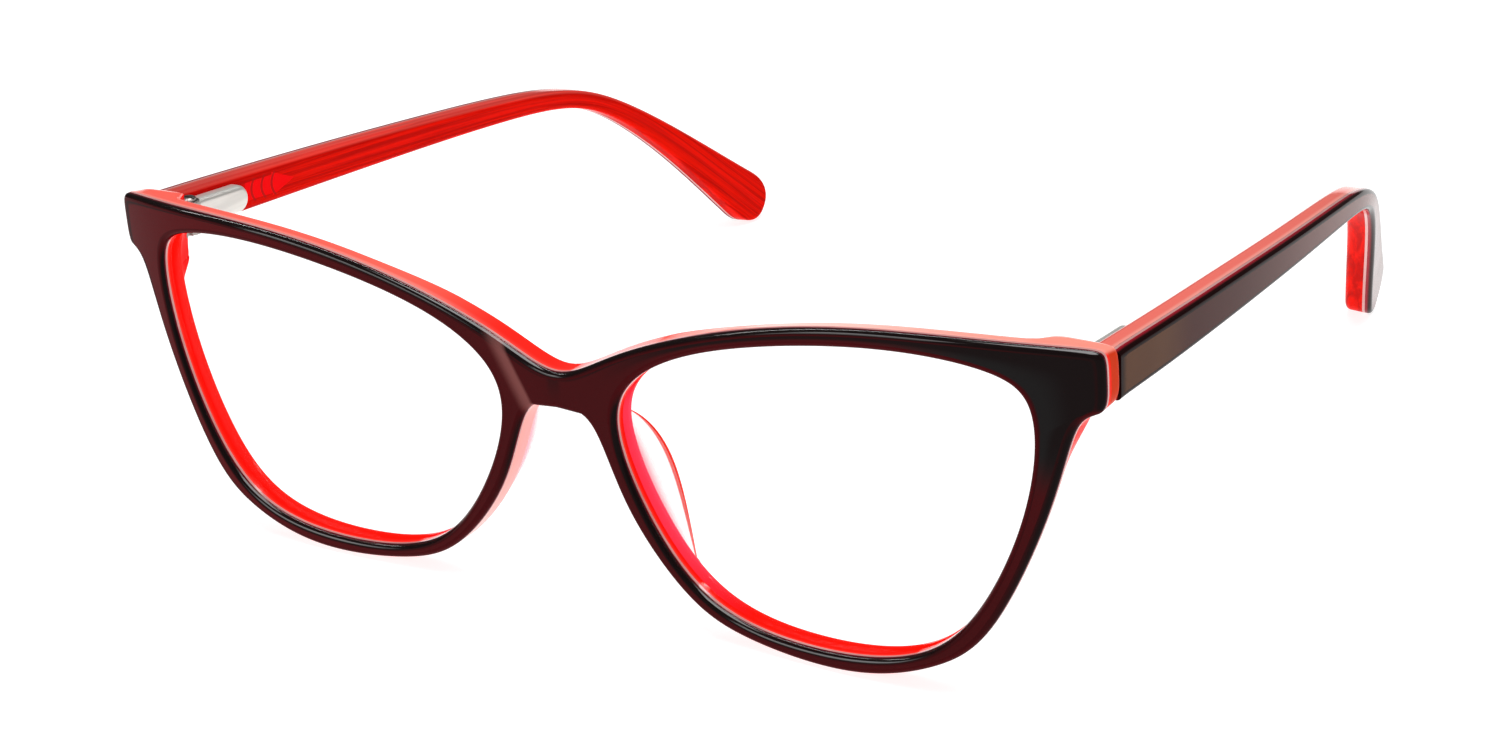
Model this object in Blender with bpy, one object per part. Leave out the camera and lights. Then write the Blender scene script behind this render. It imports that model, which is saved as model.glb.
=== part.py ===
"""Cat-eye spectacles: laminated acetate front and temples, sprung fold hinges, lenses, nose pads.

Frame: +Z up, the front faces -Y, the temples run to +Y, X = 0 is the mirror plane.
The suffixes _L and _R are the wearer's: _L is at +X. Numbers are millimetres, with y counted from
the bridge's front face, until to_object puts the origin midway between the front and the tips.
"""

import math

import bmesh
import bpy
import numpy as np

# ---------------------------------------------------------------- front: half outline and opening
# Control points (x, z) of closed uniform cubic B-splines, z counted from the middle of the rims.
OUTLINE = [
    (0.0, -6.3), (7.8, -0.7), (26.1, 5.7), (43.9, 8.6), (61.5, 8.6), (68.0, 8.3), (69.05, 7.8),
    (69.1, 4.5), (69.15, 0.5), (65.9, 1.2), (64.0, -9.5), (56.8, -26.8), (50.6, -31.6),
    (39.7, -35.4), (24.0, -34.0), (16.6, -30.8), (8.0, -20.1), (5.2, -8.4), (0.0, -8.9),
]
OPENING = [
    (21.7, 2.5), (43.7, 6.7), (58.0, 5.5), (62.4, 1.9), (61.2, -11.0), (54.9, -25.4),
    (46.9, -32.0), (32.1, -33.3), (19.3, -31.2), (11.6, -21.4), (7.0, -9.7), (10.4, -3.0),
]
EYE = (35.0, -12.0)  # middle of an opening
SPOKES = 56  # stations round each rim
RISE = 34.6  # lifts the outline so that the rims stand on z = 0
MIDDLE_Y = 65.205  # halfway from the front to the temple tips
BOW_2, BOW_4 = -1.345e-3, 4.19e-7  # y = BOW_2 x^2 + BOW_4 x^4: bellied rims, ends swept back

# ---------------------------------------------------------------- sheet thicknesses
GAP = 0.02  # glue line between sheets
DARK, PALE, THICK = 0.8, 0.35, 4.0  # outer sheet, middle sheet, whole laminate
ROUND = 0.45  # polished edge
RED_FROM = DARK + PALE + 2 * GAP  # depth of the back sheet's front
END_BACK = 7.4  # the end piece's flat back, which the temple butts on
END_STEP = (60.2, 62.4)  # x where the back swells to that flat
END_FOOT = (-4.5, -0.5)  # and z, on the outline
END_LIP = 0.13  # share of the rim's width over which the swelling dies out at the opening
SWELL_FROM = 3.2  # depth below which the sheets keep their thickness
DRAFT = 0.3  # how fast the outer walls lean in towards the back, below the end pieces
DRAFT_X, DRAFT_Z = (38.0, 54.0), (-1.0, -7.0)  # where that sets in
TOP_DRAFT, TOP_Z = 0.2, (1.5, 6.0)  # the same for the top edges, which fall towards the back

# ---------------------------------------------------------------- lens
GROOVE_AT, GROOVE_DEEP = 2.55, 0.9
LENS_FRONT, LENS_THICK, LENS_BULGE = 1.5, 2.0, 1.3

# ---------------------------------------------------------------- temple, as (y, z, height, x) controls
TEMPLE = [
    (-1.5, 39.1, 5.7, 67.0), (7.6, 38.5, 5.6, 67.0), (22.0, 37.2, 5.3, 67.0), (42.0, 35.5, 4.7, 66.6),
    (62.0, 33.7, 3.9, 66.0), (80.0, 32.0, 3.3, 65.0), (94.5, 30.0, 2.7, 63.6), (103.5, 25.3, 2.8, 61.4),
    (113.0, 17.5, 4.2, 58.4), (122.0, 8.8, 6.5, 55.4), (131.0, 0.05, 9.3, 52.6), (140.0, -7.0, 10.6, 50.0),
]
BUTT = END_BACK + 0.15  # front end of the temple
SQUARE = 12.0  # length over which the sections turn from upright to square with the path
TIP_AT, TIP_ROUND, TIP_POWER = 133.6, 5.6, 2.3  # path length, and the rounding of its end
T_DARK, T_PALE, T_THICK = 0.9, 0.38, 4.0

# ---------------------------------------------------------------- hinge and spring box
AXIS = (63.2, 9.0)  # fold axis, parallel to Z
AXIS_Z = 38.25  # middle of the barrel
BARREL_R, SCREW_R, RUN = 1.45, 0.6, 0.05
EYE_HALF, EYE_GAP, BARREL_HALF = 0.7, 0.1, 2.2
BARREL_STEPS = 16
FALL = math.radians(5.1)  # the temple slopes down this much behind the hinge
ROD_X = 65.1
BOX = (11.0, 20.6)  # along the temple
BOX_X = (63.3, 66.85)
BOX_HALF = 1.85
WIRE_FROM, WIRE_TO = 14.7, 122.0  # core wire, as path length

COLOURS = {
    "dark_acetate": (0.055, 0.012, 0.014, 1.0),
    "pale_acetate": (0.80, 0.50, 0.48, 1.0),
    "red_acetate": (0.80, 0.02, 0.012, 1.0),
    "clear_lens": (0.95, 0.97, 0.98, 1.0),
    "clear_pad": (0.93, 0.88, 0.88, 1.0),
    "silver_metal": (0.72, 0.71, 0.68, 1.0),
    "core_metal": (0.55, 0.50, 0.48, 1.0),
}

for old in list(bpy.data.objects):
    bpy.data.objects.remove(old, do_unlink=True)
HOME = bpy.data.collections.new("eyeglasses")
bpy.context.scene.collection.children.link(HOME)
TOOLS = bpy.data.collections.new("cutters")
bpy.context.scene.collection.children.link(TOOLS)


# ================================================================ small helpers
def material(name):
    found = bpy.data.materials.get(name)
    if found:
        return found
    made = bpy.data.materials.new(name)
    made.use_nodes = True
    shader = made.node_tree.nodes["Principled BSDF"]
    shader.inputs["Base Color"].default_value = COLOURS[name]
    shader.inputs["Metallic"].default_value = 1.0 if name.endswith("metal") else 0.0
    shader.inputs["Roughness"].default_value = 0.25 if name.endswith("metal") else 0.08
    return made


def to_object(name, verts, faces, look, pivot=(0.0, MIDDLE_Y, 0.0), side=1, cutter=False):
    """A mesh object from millimetre points, mirrored to -X when side is -1, its origin on the pivot."""
    pivot = np.array(pivot, float) * (side, 1, 1)
    points = (np.array(verts, float) * (side, 1, 1) - pivot) * 0.001
    mesh = bpy.data.meshes.new(name)
    mesh.from_pydata(points.tolist(), [], [list(f)[::side] for f in faces])
    bm = bmesh.new()
    bm.from_mesh(mesh)
    bmesh.ops.remove_doubles(bm, verts=bm.verts, dist=1e-7)
    bmesh.ops.recalc_face_normals(bm, faces=bm.faces)
    bm.to_mesh(mesh)
    bm.free()
    mesh.materials.append(material(look))
    obj = bpy.data.objects.new(name, mesh)
    obj.location = ((pivot - (0.0, MIDDLE_Y, 0.0)) * 0.001).tolist()
    (TOOLS if cutter else HOME).objects.link(obj)
    if cutter:
        obj.hide_render = True
        obj.display_type = "WIRE"
    return obj


def cut(obj, cutter):
    """An exact Boolean difference, left as a modifier."""
    modifier = obj.modifiers.new("cut_" + cutter.name, "BOOLEAN")
    modifier.operation = "DIFFERENCE"
    modifier.solver = "EXACT"
    modifier.object = cutter


def smooth(t):
    t = np.clip(t, 0.0, 1.0)
    return t * t * (3 - 2 * t)


def b_spline(ctrl, t, closed=True):
    """Uniform cubic B-spline through parameter values t, one unit per control point."""
    ctrl = np.array(ctrl, float)
    t = np.atleast_1d(np.asarray(t, float))
    i = np.floor(t).astype(int)
    u = (t - i)[:, None]
    weights = ((1 - u) ** 3, 3 * u**3 - 6 * u**2 + 4, -3 * u**3 + 3 * u**2 + 3 * u + 1, u**3)
    last = len(ctrl) - 1
    point = 0
    for k, weight in enumerate(weights):
        j = (i - 1 + k) % len(ctrl) if closed else np.clip(i - 1 + k, 0, last)
        point = point + weight / 6 * ctrl[j]
    return point


def laminate(shape, quads, rims, place):
    """Closed sheet as (points, faces), its edges following a profile at each rim.

    shape(insets) gives the sheet's 2-D points when each rim is drawn in by its inset. Each rim is
    (loop of indices, profile), a profile being rows of (depth, inset) from the front face to the
    back. place(points, depth) puts 2-D points in space.
    """
    whole = [shape([profile[end][1] for _, profile in rims]) for end in (0, -1)]
    points = [place(whole[0], rims[0][1][0][0]), place(whole[1], rims[0][1][-1][0])]
    size = len(whole[0])
    count = 2 * size
    # One diagonal for every sheet, so that neighbours bend alike.
    halves = [tuple(q[:3]) for q in quads] + [(q[0], q[2], q[3]) for q in quads if len(q) == 4]
    faces = halves + [tuple(i + size for i in q[::-1]) for q in halves]
    for loop, profile in rims:
        rows = [list(loop)]
        for depth, inset in profile[1:-1]:
            points.append(place(shape([inset] * len(rims))[loop], depth))
            rows.append(list(range(count, count + len(loop))))
            count += len(loop)
        rows.append([i + size for i in loop])
        for upper, lower in zip(rows, rows[1:]):
            for k in range(len(loop)):
                n = (k + 1) % len(loop)
                faces.append((upper[n], upper[k], lower[k], lower[n]))
    return np.vstack(points), faces


def normals(ring, closed=True):
    """Unit vectors to the left of a run of 2-D points."""
    if closed:
        along = np.roll(ring, -1, 0) - np.roll(ring, 1, 0)
    else:
        along = np.gradient(ring, axis=0)
    along = along / (np.linalg.norm(along, axis=1)[:, None] + 1e-12)
    return np.c_[-along[:, 1], along[:, 0]]


def grid_faces(rows, columns, wrap):
    """Quads of a rows x columns point grid, closed along the columns when wrap is set."""
    faces = []
    for r in range(rows - 1):
        for c in range(columns if wrap else columns - 1):
            n = (c + 1) % columns
            faces.append((r * columns + c, r * columns + n, (r + 1) * columns + n, (r + 1) * columns + c))
    return faces


def tube(rings):
    """Closed solid through rings of equal length, its two ends filled."""
    rings = [np.array(ring, float) for ring in rings]
    count = len(rings[0])
    faces = grid_faces(len(rings), count, True)
    faces.append(tuple(range(count))[::-1])
    faces.append(tuple(range((len(rings) - 1) * count, len(rings) * count)))
    return np.vstack(rings), faces


def circle(radius, steps, turn=0.0):
    angles = turn + np.linspace(0, 2 * math.pi, steps, endpoint=False)
    return np.c_[radius * np.cos(angles), radius * np.sin(angles)]


def upright(centre, profile, steps):
    """Solid of revolution about a line parallel to Z: profile rows are (radius, z)."""
    rings = []
    for radius, z in profile:
        rings.append(np.c_[circle(radius, steps) + np.array(centre), np.full(steps, z)])
    return tube(rings)


def on_floor(points):
    """Trims the polished bottom to a flat on z = 0."""
    points = np.array(points, float)
    points[:, 2] = np.maximum(points[:, 2], 0.0)
    return points


# ================================================================ front
def bow(x):
    return BOW_2 * x**2 + BOW_4 * x**4


def ramp(value, ends):
    """0 at the first of two ends, 1 at the second."""
    return smooth((value - ends[0]) / (ends[1] - ends[0]))


def back_swell(x, z, across):
    """How much thicker than THICK the front is, towards the end piece's flat back."""
    share = ramp(np.abs(x), END_STEP) * ramp(z, END_FOOT) * ramp(across, (0.0, END_LIP))
    return share * (END_BACK - THICK - bow(x))


def place_front(points, depth):
    """(x, z, across) at a depth: across is 0 on the opening's edge and 1 on the outline."""
    x, z, across = points.T
    share = np.clip((depth - SWELL_FROM) / (THICK - SWELL_FROM), 0.0, 1.0)
    y = bow(x) + depth + share * back_swell(x, z, across)
    behind = max(depth - RED_FROM, 0.0) * across
    lean = DRAFT * behind * ramp(np.abs(x), DRAFT_X) * ramp(z, DRAFT_Z)
    fall = TOP_DRAFT * behind * ramp(z, TOP_Z)
    return on_floor(np.c_[x - np.sign(x) * lean, y, z - fall + RISE])


def polar(curve):
    """Angle and radius of a curve about the middle of the opening, by rising angle."""
    step = curve - np.array(EYE)
    angle = np.unwrap(np.arctan2(step[:, 1], step[:, 0]))
    radius = np.linalg.norm(step, axis=1)
    if angle[-1] < angle[0]:
        angle, radius = angle[::-1], radius[::-1]
    return angle, radius


def spokes(count, bridge_count):
    """Angles about the eye, and the opening's and outline's points there, for the +X half."""
    half = OUTLINE[:]
    ctrl = half + [(-x, z) for x, z in half[-2:0:-1]]
    outline = b_spline(ctrl, np.linspace(0, len(half) - 1, 1601))
    a_out, r_out = polar(outline)
    a_in, r_in = polar(b_spline(OPENING, np.linspace(0, len(OPENING), 1600, endpoint=False)))
    turn = 2 * math.pi
    a_in = np.r_[a_in - turn, a_in, a_in + turn]
    r_in = np.tile(r_in, 3)
    low, high = a_out[0], a_out[-1]
    dense = np.linspace(low, high, 3000)

    def spot(angle, angles, radii):
        radius = np.interp(angle, angles, radii)
        return np.array(EYE) + np.c_[np.cos(angle), np.sin(angle)] * radius[:, None]

    density = 0
    for angles, radii, share in ((a_out, r_out, 1.0), (a_in, r_in, 0.6)):
        path = spot(dense, angles, radii)
        step = np.gradient(path, axis=0)
        length = np.linalg.norm(step, axis=1)
        heading = np.unwrap(np.arctan2(step[:, 1], step[:, 0]))
        bend = np.abs(np.gradient(heading)) / length
        bend = np.convolve(bend, np.ones(41) / 41, "same")
        density = density + share * length * np.sqrt(bend + 0.006)
    total = np.r_[0, np.cumsum(density[:-1])]
    angles = np.interp(np.linspace(0, total[-1], count), total, dense)
    across = np.linspace(high, low + turn, bridge_count + 2)[1:-1]
    outer = spot(angles, a_out, r_out)
    outer[[0, -1], 0] = 0.0
    reach = -EYE[0] / np.cos(across)
    middle = np.c_[np.zeros(bridge_count), EYE[1] + reach * np.sin(across)]
    every = np.r_[angles, across]
    inner = spot(every, a_in, r_in)
    return inner, np.vstack([outer, middle]), count


def front_sheet(count, bridge_count, rings):
    """(shape, quads, loops) of the whole front: both halves, each a ring around its opening."""
    inner, outer, solid = spokes(count, bridge_count)
    n = len(inner)
    share = np.array(rings)[:, None, None]
    hole_normal = -normals(inner)
    solid_run = outer[:solid]
    whole = np.vstack([solid_run, (solid_run * (-1, 1))[-2:0:-1]])
    edge_normal = np.zeros_like(outer)
    edge_normal[:solid] = normals(whole)[:solid]

    def shape(insets):
        near = inner + hole_normal * insets[-1]
        far = outer + edge_normal * insets[0]
        middle_z = np.interp(np.arange(n), [solid - 1, n], [far[solid - 1, 1], far[0, 1]])
        base_z = np.interp(np.arange(n), [solid - 1, n], [outer[solid - 1, 1], outer[0, 1]])
        far[solid:, 1] += (middle_z - base_z)[solid:]
        half = (near[None] * (1 - share) + far[None] * share).reshape(-1, 2)
        half = np.c_[half, np.repeat(rings, n)]
        return np.vstack([half, half * (-1, 1, 1)])[used]

    size = len(rings) * n
    quads = [q[::-1] for q in grid_faces(len(rings), n, True)]
    quads += [tuple(i + size for i in q[::-1]) for q in quads]
    first = (len(rings) - 1) * n
    # The middle line belongs to both halves.
    shared = {size + first + k: first + k for k in [0, *range(solid - 1, n)]}
    quads = [tuple(shared.get(i, i) for i in q) for q in quads]
    edge = [first + k for k in range(solid)]
    outer_loop = edge + [size + i for i in edge[-2:0:-1]]
    hole_plus = list(range(n))[::-1]
    hole_minus = [size + k for k in range(n)]
    used = sorted({i for q in quads for i in q})
    index = {old: new for new, old in enumerate(used)}
    quads = [tuple(index[i] for i in q) for q in quads]
    return shape, quads, [[index[i] for i in loop] for loop in (outer_loop, hole_plus, hole_minus)]


SHEET = front_sheet(SPOKES, 3, (0.0, END_LIP, 0.55, 1.0))
HALF_GROOVE = 0.55

edge_out = [(0.0, ROUND), (0.13, 0.13), (ROUND, 0.0), (DARK, 0.0)]
edge_mid = [(DARK + GAP, 0.0), (DARK + GAP + PALE, 0.0)]
edge_red = [(RED_FROM, 0.0), (THICK - 0.7, 0.0), (THICK - 0.22, 0.2), (THICK, 0.65)]
groove = [
    (RED_FROM, 0.0), (GROOVE_AT - HALF_GROOVE, 0.0), (GROOVE_AT, GROOVE_DEEP),
    (GROOVE_AT + HALF_GROOVE, 0.0), (THICK - 0.4, 0.0), (THICK, 0.4),
]
front_nodes = {}
for name, outer_profile, hole_profile, look in (
    ("front_outer_layer", edge_out, edge_out, "dark_acetate"),
    ("front_middle_layer", edge_mid, edge_mid, "pale_acetate"),
    ("front_back_layer", edge_red, groove, "red_acetate"),
):
    shape, quads, loops = SHEET
    rims = [(loops[0], outer_profile), (loops[1], hole_profile), (loops[2], hole_profile)]
    front_nodes[name] = to_object(name, *laminate(shape, quads, rims, place_front), look)


# ================================================================ lenses
def lens(side):
    inner = spokes(SPOKES, 3)[0]
    n = len(inner)
    eye = np.array(EYE)
    shares = (0.0, 0.6, 1.0)
    draw_in = -normals(inner)

    def shape(insets):
        edge = inner - draw_in * insets[0]
        return np.vstack([eye] + [eye + (edge - eye) * share for share in shares[1:]])

    quads = [(0, 1 + k, 1 + (k + 1) % n)[::-1] for k in range(n)]
    quads += [tuple(i + 1 for i in q) for q in grid_faces(len(shares) - 1, n, True)]
    loop = [1 + (len(shares) - 2) * n + k for k in range(n)]
    reach = np.linalg.norm(inner - eye, axis=1)
    turn = np.arctan2(inner[:, 1] - EYE[1], inner[:, 0] - EYE[0])
    order = np.argsort(turn)

    def place(points, depth):
        step = points - eye
        around = np.arctan2(step[:, 1], step[:, 0])
        limit = np.interp(around, turn[order], reach[order], period=2 * math.pi)
        share = np.clip(np.linalg.norm(step, axis=1) / limit, 0, 1)
        y = bow(points[:, 0]) + depth - LENS_BULGE * (1 - share**2)
        return np.c_[points[:, 0], y, points[:, 1] + RISE]

    front, back = LENS_FRONT, LENS_FRONT + LENS_THICK
    bevel = HALF_GROOVE - 0.1
    profile = [
        (front, 0.12), (GROOVE_AT - bevel, 0.12), (GROOVE_AT, 0.12 - GROOVE_DEEP),
        (GROOVE_AT + bevel, 0.12), (back, 0.12),
    ]
    solid = laminate(shape, quads, [(loop, profile)], place)
    return to_object("lens_" + "LR"[side < 0], *solid, "clear_lens", side=side)


# ================================================================ nose pads
PAD_Z = (25.2, 6.8)  # top and bottom of the pad
PAD_STEPS, PAD_RIM = 11, 12


def rim_middle(z):
    """x of the nasal rim's middle line at this height."""
    inner, outer, _ = spokes(160, 3)
    nasal = (inner[:, 0] < EYE[0]) & (inner[:, 1] < -1) & (inner[:, 1] > -30)
    half = [p for p in (inner[nasal] + outer[nasal]) / 2]
    half.sort(key=lambda p: p[1])
    half = np.array(half)
    return np.interp(z - RISE, half[:, 1], half[:, 0])


def nose_pad(side):
    """Fin behind the nasal rim: flat bearing side to the nose, rounded side to the lens."""
    rings = []
    for t in np.linspace(0, 1, PAD_STEPS):
        swell = math.sin(math.pi * min(max(t, 0.02), 0.97) ** 0.8) ** 0.8
        z = PAD_Z[0] + (PAD_Z[1] - PAD_Z[0]) * t
        x = float(rim_middle(z))
        y = float(bow(np.array(x))) + THICK + 0.05
        reach, out, wide = 4.8 * swell, 1.2 * swell, 0.5 + 0.6 * swell
        ring = []
        for a in np.linspace(0, 2 * math.pi, PAD_RIM, endpoint=False):
            c, s = math.cos(a), math.sin(a)
            along = (1 - c) / 2
            thick = s * wide * (1.0 - 0.45 * along) * (1.0 if s > 0 else 0.8)
            lift = (0.25 - thick * 0.35) * (along > 0)
            ring.append((x - 0.2 + out * along**1.2 + thick * 0.9, y + reach * along + lift, z))
        rings.append(ring)
    shape = tube(rings)
    return to_object("nose_pad_" + "LR"[side < 0], *shape, "clear_pad", side=side)


# ================================================================ temples
def temple_path():
    """Stations along the temple: centre (x, y, z), height, and path length from the butt."""
    dense = b_spline(TEMPLE, np.linspace(1, len(TEMPLE) - 2, 2000), False)
    y, z, h, x = dense.T
    start = np.interp(BUTT, y, np.arange(len(y)))
    step = np.sqrt(np.gradient(x) ** 2 + np.gradient(y) ** 2 + np.gradient(z) ** 2)
    length = np.cumsum(step)
    length = length - np.interp(start, np.arange(len(y)), length)
    return length, np.c_[x, y, z], h


PATH_S, PATH_P, PATH_H = temple_path()


def path_frame(s):
    """Centre, across (up) and outward directions at path length s."""
    s = np.atleast_1d(np.asarray(s, float))
    at = [np.interp(s, PATH_S, PATH_P[:, k]) for k in range(3)]
    ahead = [np.interp(s + 0.4, PATH_S, PATH_P[:, k]) for k in range(3)]
    behind = [np.interp(s - 0.4, PATH_S, PATH_P[:, k]) for k in range(3)]
    centre = np.c_[tuple(at)]
    along = np.c_[tuple(ahead)] - np.c_[tuple(behind)]
    along /= np.linalg.norm(along, axis=1)[:, None]
    up = np.c_[np.zeros(len(s)), -along[:, 2], along[:, 1]]
    blend = smooth(s / SQUARE)[:, None]
    up = up / np.linalg.norm(up, axis=1)[:, None] * blend + np.array([0, 0, 1.0]) * (1 - blend)
    up /= np.linalg.norm(up, axis=1)[:, None]
    out = np.cross(along, up)
    out /= np.linalg.norm(out, axis=1)[:, None]
    square = np.array([1.0, 0, 0])
    out = out * blend + square * (1 - blend)
    out /= np.linalg.norm(out, axis=1)[:, None]
    return centre, up, out


def place_temple(points, depth):
    """(path length, height off the middle) at a depth below the outer face."""
    centre, up, out = path_frame(points[:, 0])
    spot = centre + up * points[:, 1:] + out * (T_THICK / 2 - depth)
    flat = points[:, 0] < 1e-6
    spot[flat, 1] = BUTT
    return on_floor(spot)


def temple_sheet():
    """(shape, quads, loop) of the temple's side view."""
    straight = np.linspace(0, 84, 12)
    ear = np.linspace(84, TIP_AT - TIP_ROUND, 11)[1:]
    rows = np.array([-1.0, 0.0, 1.0])
    quarter = np.linspace(0, math.pi / 2, 7)[1:-1]

    def shape(insets):
        inset = insets[0]
        reach = TIP_ROUND - inset
        end = TIP_AT - TIP_ROUND + reach * np.r_[np.sin(quarter), 0.995]
        stations = np.r_[straight, ear, end]
        half = np.interp(stations, PATH_S, PATH_H) / 2 - inset
        past = np.clip((stations - (TIP_AT - TIP_ROUND)) / reach, 0, 1)
        half = half * (1 - past**TIP_POWER) ** (1 / TIP_POWER)
        return np.stack([np.repeat(stations, len(rows)), (half[:, None] * rows).ravel()], axis=1)

    n, m = len(straight) + len(ear) + len(quarter) + 1, len(rows)
    bottom = [i * m for i in range(n)]
    tip = [(n - 1) * m + j for j in range(1, m)]
    top = [i * m + m - 1 for i in range(n - 2, -1, -1)]
    butt = [j for j in range(m - 2, 0, -1)]
    return shape, grid_faces(n, m, False), bottom + tip + top + butt


PIVOT = (AXIS[0], AXIS[1], AXIS_Z)
T_SHEET = temple_sheet()
T_RED = T_DARK + T_PALE + 2 * GAP
t_edges = {
    "outer": [(0.0, 0.55), (0.16, 0.16), (0.55, 0.0), (T_DARK, 0.0)],
    "middle": [(T_DARK + GAP, 0.0), (T_DARK + GAP + T_PALE, 0.0)],
    "inner": [(T_RED, 0.0), (T_THICK - 0.9, 0.0), (T_THICK - 0.25, 0.28), (T_THICK, 0.9)],
}


def along_fall(s, x, up):
    """Point in the spring box's own frame: s behind the fold axis along the temple, up across it."""
    c, d = math.cos(FALL), math.sin(FALL)
    return np.array([x, AXIS[1] + s * c + up * d, AXIS_Z - s * d + up * c])


def rod(radii, steps=10):
    """Solid of revolution about the rod's line: rows are (radius, s)."""
    rings = []
    for radius, s in radii:
        ring = circle(radius, steps, math.pi / steps)
        rings.append([along_fall(s, ROD_X + a, b) for a, b in ring])
    return tube(rings)


def bar(s_range, x_range, half, nose=0.0, soft=0.0, arc=6):
    """Flat bar in the box's frame, its rear end rounded by nose, its inner face softened by soft."""
    s0, s1 = s_range
    outline = []
    centre = s1 - nose
    for a in np.linspace(-math.pi / 2, math.pi / 2, arc + 1):
        up = math.sin(a) * nose + math.copysign(half - nose, math.sin(a)) * (abs(math.sin(a)) > 1e-6)
        outline.append((centre + nose * math.cos(a), up))
    outline += [(s0, half), (s0, -half)]
    outline = np.array(outline)
    middle = np.array([(s0 + s1) / 2, 0.0])
    rows = [(x_range[1], 0.0), (x_range[0] + soft, 0.0)]
    if soft:
        rows += [(x_range[0] + 0.35 * soft, 0.3 * soft), (x_range[0], soft)]
    rings = []
    for x, inset in rows:
        toward = middle - outline
        toward = toward / np.linalg.norm(toward, axis=1)[:, None]
        ring = outline + np.sign(toward) * np.minimum(inset, np.abs(middle - outline) * 0.9)
        rings.append([along_fall(s, x, up) for s, up in ring])
    return tube(rings)


def wire_section(s, tall, thick, depth, round_off=0.3):
    """Eight-sided section of the core wire at path length s."""
    centre, up, out = path_frame(s)
    centre, up, out = centre[0], up[0], out[0]
    a, b = tall / 2, thick / 2
    c = min(round_off, a * 0.6, b * 0.6)
    shape = [(a, -b + c), (a, b - c), (a - c, b), (-a + c, b)]
    shape += [(-u, -v) for u, v in shape]
    return [centre + up * u + out * (T_THICK / 2 - depth + v) for u, v in shape]


def core_wire(grow=0.0):
    """Notched arrow head behind the spring box, then a plain wire that follows the temple."""
    depth = T_RED + 1.25
    rows = []
    s = WIRE_FROM
    for k in range(3):
        rows += [(s, 1.5), (s + 1.5, 3.1), (s + 1.7, 1.5)]
        s += 2.1
    rows += [(s, 1.4), (s + 2.6, 1.0)]
    rows += [(r, 1.0) for r in np.linspace(30, WIRE_TO, 14)]
    if grow:
        rows = [(WIRE_FROM - 3.0, 3.4), (s + 0.2, 3.4), (s + 2.8, 1.3)]
        rows += [(r, 1.3) for r in np.linspace(30, WIRE_TO + 0.3, 14)]
        return tube([wire_section(r, tall, 1.0 + grow, depth) for r, tall in rows])
    return tube([wire_section(r, tall, 1.0, depth) for r, tall in rows])


def coil():
    """The spring on the rod."""
    start, stop, turns, steps, rim = BOX[0] - AXIS[1] + 0.95, 8.75, 6, 8, 4
    rings = []
    for k in range(turns * steps + 1):
        a = 2 * math.pi * k / steps
        s = start + (stop - start) * k / (turns * steps)
        ring = []
        for b in np.linspace(0, 2 * math.pi, rim, endpoint=False):
            radius = 0.84 + 0.16 * math.cos(b)
            x, up = ROD_X + radius * math.cos(a), radius * math.sin(a)
            ring.append(along_fall(s + 0.16 * math.sin(b), x, up))
        rings.append(ring)
    return tube(rings)


def joined(name, parts, look, side):
    """Union of closed meshes, through exact Booleans on hidden helpers."""
    base = to_object(name, *parts[0], look, PIVOT, side)
    for k, part in enumerate(parts[1:]):
        helper = to_object(f"{name}_add{k}", *part, look, PIVOT, side, cutter=True)
        modifier = base.modifiers.new(f"add{k}", "BOOLEAN")
        modifier.operation = "UNION"
        modifier.solver = "EXACT"
        modifier.object = helper
    return base


def drill(obj, name, shape, side):
    cut(obj, to_object(name, *shape, "silver_metal", PIVOT, side, cutter=True))


def knuckle(z0, z1, soft=0.12):
    """Part of the barrel, its edges softened."""
    edge = BARREL_R - soft
    rows = [(edge, z0), (BARREL_R, z0 + soft), (BARREL_R, z1 - soft), (edge, z1)]
    return upright(AXIS, rows, BARREL_STEPS)


def axis_cutter(radius, reach):
    """Plain cylinder on the fold axis, reach to each side of the barrel's middle."""
    return upright(AXIS, [(radius, AXIS_Z - reach), (radius, AXIS_Z + reach)], BARREL_STEPS)


def block(x, y, z):
    corners = [(x[0], y[0]), (x[1], y[0]), (x[1], y[1]), (x[0], y[1])]
    return tube([[(a, b, level) for a, b in corners] for level in z])


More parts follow.
